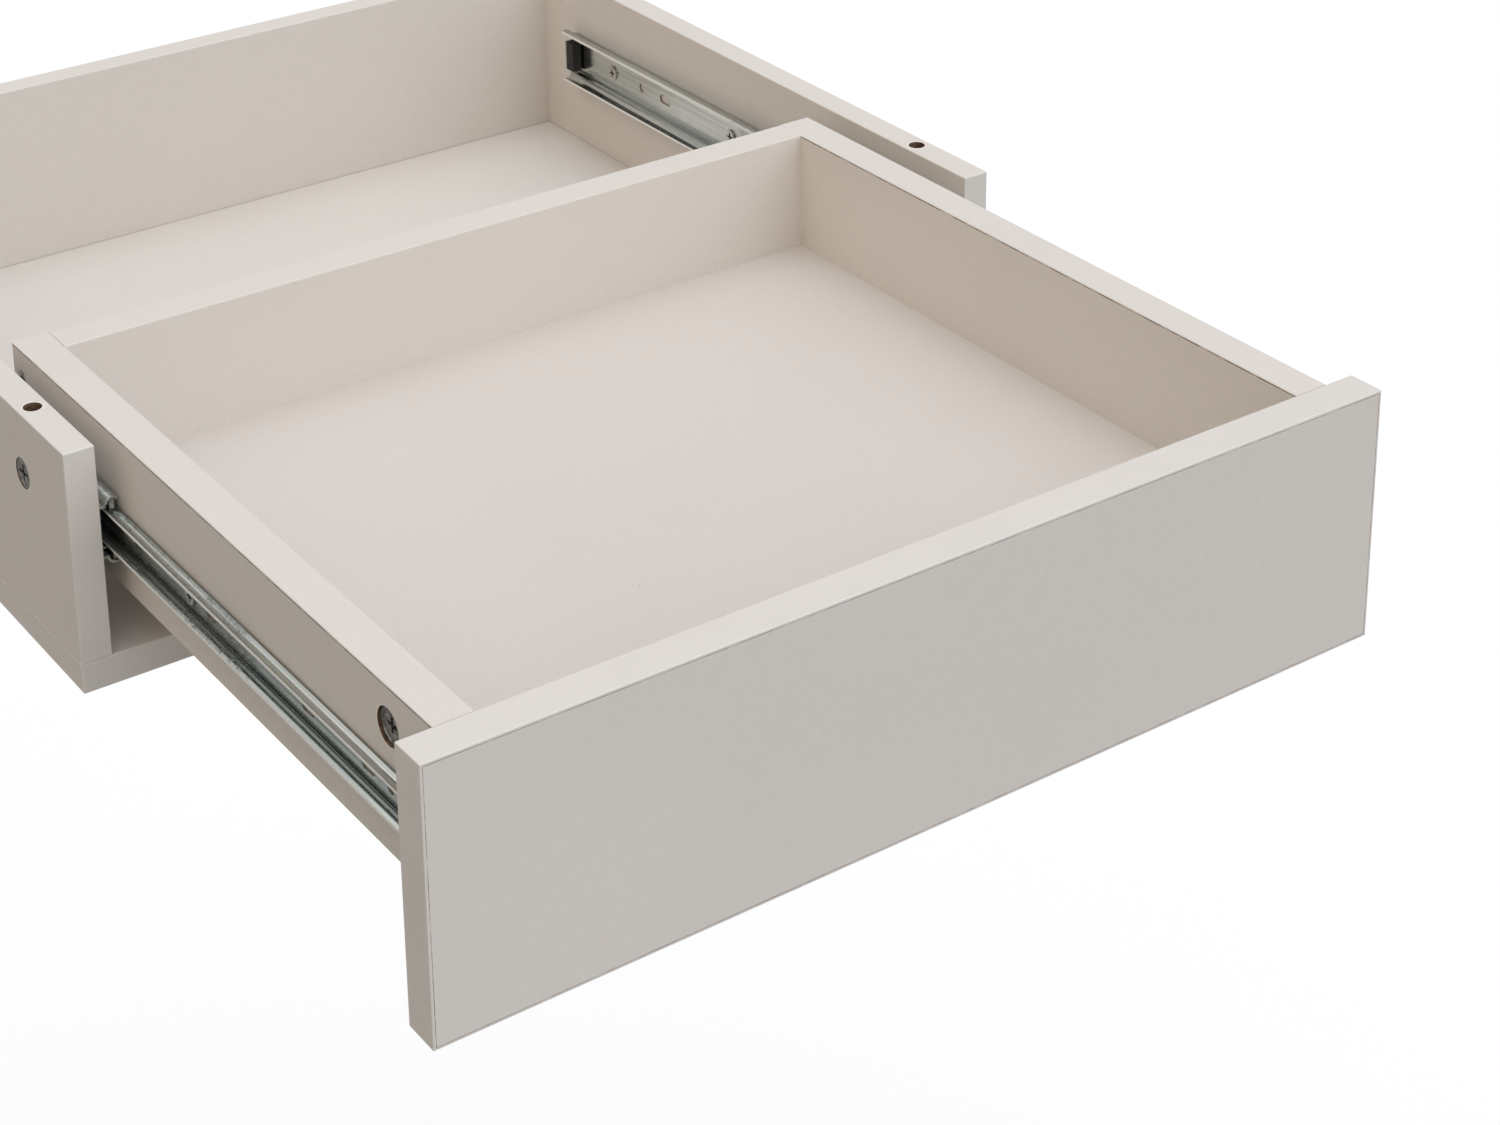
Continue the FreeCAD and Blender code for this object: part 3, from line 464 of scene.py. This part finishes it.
def greased_zinc(name, grease_from, grease_to, cut_at=None):
    """Zinc plated strip steel, roll-drawn along the slide, with old grease over a stretch of it.

    The hollows of its profile are painted dull and dark as shade, its crests are rubbed pale with
    a painted highlight, and the sheared edges, at the distance cut_at to both sides of the middle,
    are rough and pale, partly as a painted highlight.
    """
    tree = Surface(name)
    along = tree.stretched((1.0, 0.02, 1.0))
    drawn = tree.noise(scale=1500, detail=3, rough=0.6, place=along)
    streaks = tree.noise(scale=520, detail=3, rough=0.65, place=along)
    greasy = old_grease(tree, grease_from, grease_to)
    base, rough = zinc_coat(tree, drawn, streaks)
    base = tree.blend(greasy, base, tree.blend(0.5, GREASE, ZINC_DARK))
    # Painted shade: the profile's hollows darkened by an occlusion mask.
    base = tree.cover(base, tree.cavity(5 * MM), 0.55, ZINC_DARK)
    # Painted shade: narrow crevices darkened further still.
    crevice = tree.cavity(1.2 * MM, open_share=0.85, shut_share=0.35)
    base = tree.cover(base, crevice, 0.80, tree.tone(ZINC_DARK, 0.5))
    # Crests and arrises: partly rubbed zinc, partly a painted highlight.
    base = tree.cover(base, tree.edges(width=0.30 * MM), 0.8, ZINC_RUBBED_AND_HIGHLIT)
    rough = tree.plus(rough, tree.times(greasy, 0.12))
    metal = tree.minus(1.0, tree.times(greasy, 0.55))
    normal = tree.bump(drawn, distance=0.02 * MM, strength=0.35)
    normal = tree.bump(streaks, distance=0.05 * MM, strength=0.4, under=normal)
    normal = tree.bump(greasy, distance=0.12 * MM, strength=0.7, under=normal)
    if cut_at is not None:
        # Sheared edges: rough and less metallic, and pale partly as a painted highlight.
        burr_and_highlight = sheared_edge(tree, streaks, cut_at)
        base = tree.blend(burr_and_highlight, base, ZINC_RUBBED_AND_HIGHLIT)
        rough = tree.plus(rough, tree.times(burr_and_highlight, 0.40))
        metal = tree.minus(metal, tree.times(burr_and_highlight, 0.75))
    return tree.finish(base, rough, normal, Metallic=metal)


def plated(name, color):
    """Plated screws and bolts: bright, with fine turning marks and pale edges, partly rubbed and
    partly a painted highlight.
    """
    tree = Surface(name)
    grain = tree.noise(scale=700, detail=4, rough=0.65)
    base = tree.tone(color, tree.vary(tree.noise(scale=240, detail=3), 0.82, 1.08))
    # Edges made pale: partly rubbing, partly a painted highlight.
    base = tree.cover(base, tree.edges(width=0.3 * MM), 0.5, SCREW_RUBBED_AND_HIGHLIT)
    normal = tree.bump(grain, distance=0.03 * MM, strength=0.3)
    return tree.finish(base, tree.vary(grain, 0.23, 0.40), normal, Metallic=1.0)


def cast(name, color):
    """Die-cast zinc gone brown-grey: blotched and pitted, with a painted highlight on its edges
    and painted shade in its hollows.
    """
    tree = Surface(name)
    pits = tree.noise(scale=1400, detail=4, rough=0.7)
    flow = tree.noise(scale=420, detail=4, rough=0.7)
    base = tree.tone(color, tree.span(flow, 0.38, 0.62, 0.55, 2.00))
    base = tree.blend(tree.span(pits, 0.50, 0.64, high=0.75), base, tree.tone(color, 0.30))
    # Painted highlight on the edges.
    base = tree.cover(base, tree.edges(width=0.45 * MM), 0.9, ZINC_RUBBED_AND_HIGHLIT)
    # Painted shade in the hollows of the rim and cross.
    base = tree.cover(base, tree.cavity(1.5 * MM), 0.8, tree.tone(color, 0.12))
    normal = tree.bump(flow, distance=0.10 * MM, strength=0.6)
    normal = tree.bump(pits, distance=0.06 * MM, strength=0.6, under=normal)
    return tree.finish(base, tree.vary(flow, 0.30, 0.50), normal, Metallic=0.9)


def polished_ball(name):
    """Hardened balls, bright under a thin uneven film of grease."""
    tree = Surface(name)
    film = tree.span(tree.noise(scale=600, detail=3), 0.35, 0.65)
    base = tree.cover(BALL, film, 0.4, BALL_FILM)
    rough = tree.span(film, 0.0, 1.0, 0.06, 0.24)
    normal = tree.bump(film, distance=0.02 * MM, strength=0.3)
    return tree.finish(base, rough, normal, Metallic=1.0)


def moulded_rubber(name):
    """Black rubber with a fine grain and a pale bloom in patches."""
    tree = Surface(name)
    grain = tree.noise(scale=1600, detail=3, rough=0.6)
    bloom = tree.span(tree.noise(scale=120, detail=3), 0.4, 0.7, high=0.5)
    base = tree.blend(bloom, RUBBER, RUBBER_BLOOM)
    normal = tree.bump(grain, distance=0.05 * MM, strength=0.5)
    return tree.finish(base, tree.vary(grain, 0.62, 0.80), normal)


def dowel_wood(name):
    """Beech with its grain along the dowel, and fine dark pores."""
    tree = Surface(name)
    along = tree.stretched((1.0, 0.06, 1.0))
    grain = tree.noise(scale=700, detail=4, rough=0.65, place=along)
    pores = tree.span(tree.noise(scale=2400, place=along), 0.60, 0.70)
    base = tree.blend(tree.span(grain, 0.35, 0.65), BEECH, BEECH_DARK)
    base = tree.cover(base, pores, 0.5, tree.tone(BEECH_DARK, 0.6))
    normal = tree.bump(grain, distance=0.05 * MM, strength=0.5)
    return tree.finish(base, tree.vary(grain, 0.55, 0.70), normal)


# ------------------------------------------------------------------------- finishing the CAD


def paint(material, *names):
    for name in names:
        slots = NODES[name].data.materials
        slots.clear()
        slots.append(material)


def soften(width, *names):
    """A small round on each sharp edge of a CAD piece, so that it catches the light."""
    for name in names:
        weld = NODES[name].modifiers.new("weld", "WELD")
        weld.merge_threshold = WELD_WITHIN
        bevel = NODES[name].modifiers.new("soft_edges", "BEVEL")
        bevel.width = width
        bevel.segments = ROUND_SEGMENTS
        bevel.limit_method = "ANGLE"
        bevel.angle_limit = math.radians(ROUND_FROM_ANGLE)
        bevel.harden_normals = False


def outline_lines(node):
    """The four edges of a node's face as seen from the front."""
    low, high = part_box(node)
    return [("X", low.x), ("X", high.x), ("Z", low.z), ("Z", high.z)]


def cam_places(node):
    """The cams' distances along the depth, their height and their radius."""
    low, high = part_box(node)
    radius = (high.z - low.z) / 2
    places = sorted({round(low.y + radius, 5), round(high.y - radius, 5)})
    return places, (low.z + high.z) / 2, radius


def cam_bores(node, panel, play, deep):
    """The bores that a node's cams sit in, one for each place along the panel."""
    places, z, radius = cam_places(node)
    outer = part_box(panel)[1].x
    return [Bore((0.0, y, z), radius + play, "X", outer, deep) for y in places]


def mounting_bolt_bores():
    """The upright bores in the panels' top edges."""
    low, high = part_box("right_panel")
    middle = (low.x + high.x) / 2
    spots = [(side * middle, y, 0.0) for y in cam_places("mounting_cams")[0] for side in (-1, 1)]
    return [Bore(spot, BOLT_BORE_RADIUS, "Z", high.z, BOLT_BORE_DEEP) for spot in spots]


def finish_drawer():
    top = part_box("drawer_left_side")[1].z
    bores = cam_bores("front_cams", "drawer_right_side", FRONT_CAM_PLAY, FRONT_CAM_BORE_DEEP)
    sides = seamed_foil("greige_foil_sides", GREIGE, [("Z", top - SIDE_SEAM_DROP)], bores)
    paint(sides, "drawer_left_side", "drawer_right_side")
    paint(foil("greige_foil_back", GREIGE), "drawer_back")
    # The floor's darker greige is painted shade.
    paint(foil("greige_foil_floor_shaded", GREIGE_FLOOR_SHADED, arris_wear_and_highlight=FLOOR_ARRIS_WEAR_AND_HIGHLIGHT), "drawer_bottom")
    front = seamed_foil("greige_foil_front", GREIGE_FRONT, outline_lines("drawer_front"))
    paint(front, "drawer_front")


def finish_housing():
    bores = cam_bores("mounting_cams", "right_panel", MOUNTING_CAM_PLAY, MOUNTING_CAM_BORE_DEEP)
    bores += mounting_bolt_bores()
    paint(foil("greige_foil_panels", GREIGE, bores), "left_panel", "right_panel")
    paint(foil("greige_foil_housing", GREIGE), "bottom_board", "back_board")


def finish_slides():
    low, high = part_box("drawer_rail_right")
    long = high.y - low.y
    start, end = (low.y + share * long for share in MOVING_RAIL_GREASE)
    paint(greased_zinc("zinc_moving_rails", start, end, cut_at=high.x), *MOVING_RAILS)
    low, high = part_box("cabinet_rail_right")
    start = low.y - GREASE_OVERRUN
    end = low.y + FIXED_RAIL_GREASE_END * long
    paint(greased_zinc("zinc_fixed_rails", start, end, cut_at=low.x), *FIXED_RAILS)
    low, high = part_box("ball_cage_left")
    cages = greased_zinc("zinc_cages", low.y - GREASE_OVERRUN, high.y + GREASE_OVERRUN)
    paint(cages, "ball_cage_left", "ball_cage_right")
    paint(polished_ball("greased_balls"), "balls_left", "balls_right")
    paint(moulded_rubber("moulded_rubber"), "rail_buffers")
    soften(RAIL_ROUND, *MOVING_RAILS, *FIXED_RAILS)


def finish_fittings():
    paint(edge_band("greige_edge_band", BAND), "front_edge_bands", "housing_edge_bands")
    paint(plated("zinc_screws", SCREW_ZINC), *SCREWS, "front_cam_bolts")
    paint(cast("cast_zinc_cams", CAST_ZINC), *CAMS)
    paint(dowel_wood("beech_dowels"), "front_dowels")
    soften(FASTENER_ROUND, *CAMS, *SCREWS)


# -------------------------------------------------------------------------------- the studio


def make_floor():
    """A plain pale floor. The camera sees it near white, yet it throws back little light."""
    mesh = bpy.data.meshes.new("studio_floor")
    half = FLOOR_SIDE / 2
    corners = [(-half, -half), (half, -half), (half, half), (-half, half)]
    mesh.from_pydata([(x, y, -DESK_HEIGHT) for x, y in corners], [], [(0, 1, 2, 3)])
    floor = bpy.data.objects.new("studio_floor", mesh)
    bpy.context.scene.collection.objects.link(floor)
    tree = Surface("pale_floor")
    shade = tree.vary(tree.noise(scale=1.3, detail=3), 0.992, 1.0)
    color = tree.tone((FLOOR_TONE, FLOOR_TONE, FLOOR_TONE), shade)
    glow = {"Emission_Color": WHITE, "Emission_Strength": tree.times(tree.seen(), FLOOR_LIFT)}
    mesh.materials.append(tree.finish(color, 0.9, **glow))


def make_sun(name, toward, color, angle):
    """A broad, even light from the direction of a point seen from the origin."""
    data = bpy.data.lights.new(name, "SUN")
    strength = max(color)
    data.energy = strength
    data.color = [part / strength for part in color]
    data.angle = math.radians(angle)
    lamp = bpy.data.objects.new(name, data)
    lamp.rotation_euler = Vector(toward).to_track_quat("Z", "Y").to_euler()
    bpy.context.scene.collection.objects.link(lamp)


def make_sky():
    """A sky that lights the scene more from higher up, and looks plain white to the camera."""
    world = bpy.data.worlds.new("pale_surroundings")
    bpy.context.scene.world = world
    tree = Tree(world)
    inward = tree.add("NewGeometry").outputs["Incoming"]
    height = tree.span(tree.part(inward, "Z"), 0.0, -1.0)
    sky = tree.blend(tree.seen(), tree.tone(GLOW_OVERHEAD, height), WHITE)
    tree.feed(tree.nodes["Background"].inputs["Color"], sky)
    tree.feed(tree.nodes["Background"].inputs["Strength"], 1.0)


def shift_lens(camera):
    """Shifts the lens, as a perspective control lens does, where the camera is now.

    The shift belongs to the main view only, so drivers drop it once the camera is elsewhere.
    """
    x, y, z = camera.location
    away = f"max(abs(x - {x:.5f}), abs(y - {y:.5f}), abs(z - {z:.5f}))"
    for name, shift in zip(("shift_x", "shift_y"), CAMERA_SHIFT):
        driver = camera.data.driver_add(name).driver
        driver.type = "SCRIPTED"
        for letter in "XYZ":
            variable = driver.variables.new()
            variable.name = letter.lower()
            variable.type = "TRANSFORMS"
            variable.targets[0].id = camera
            variable.targets[0].transform_type = "LOC_" + letter
        driver.expression = f"{shift} if {away} < {CAMERA_STRAY} else 0.0"


def make_camera():
    low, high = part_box("front_edge_bands")
    corner = Vector((low.x, low.y, high.z))
    data = bpy.data.cameras.new("main_camera")
    data.sensor_width = CAMERA_SENSOR
    data.lens = CAMERA_LENS
    camera = bpy.data.objects.new("main_camera", data)
    camera.location = corner + Vector(CAMERA_FROM_CORNER)
    camera.rotation_euler = Euler([math.radians(angle) for angle in CAMERA_TURN], "XYZ")
    bpy.context.scene.collection.objects.link(camera)
    bpy.context.scene.camera = camera
    shift_lens(camera)


def main():
    finish_drawer()
    finish_housing()
    finish_slides()
    finish_fittings()
    make_floor()
    for sun in SUNS:
        make_sun(*sun)
    make_sky()
    make_camera()
    bpy.context.scene.view_settings.view_transform = "Standard"


main()
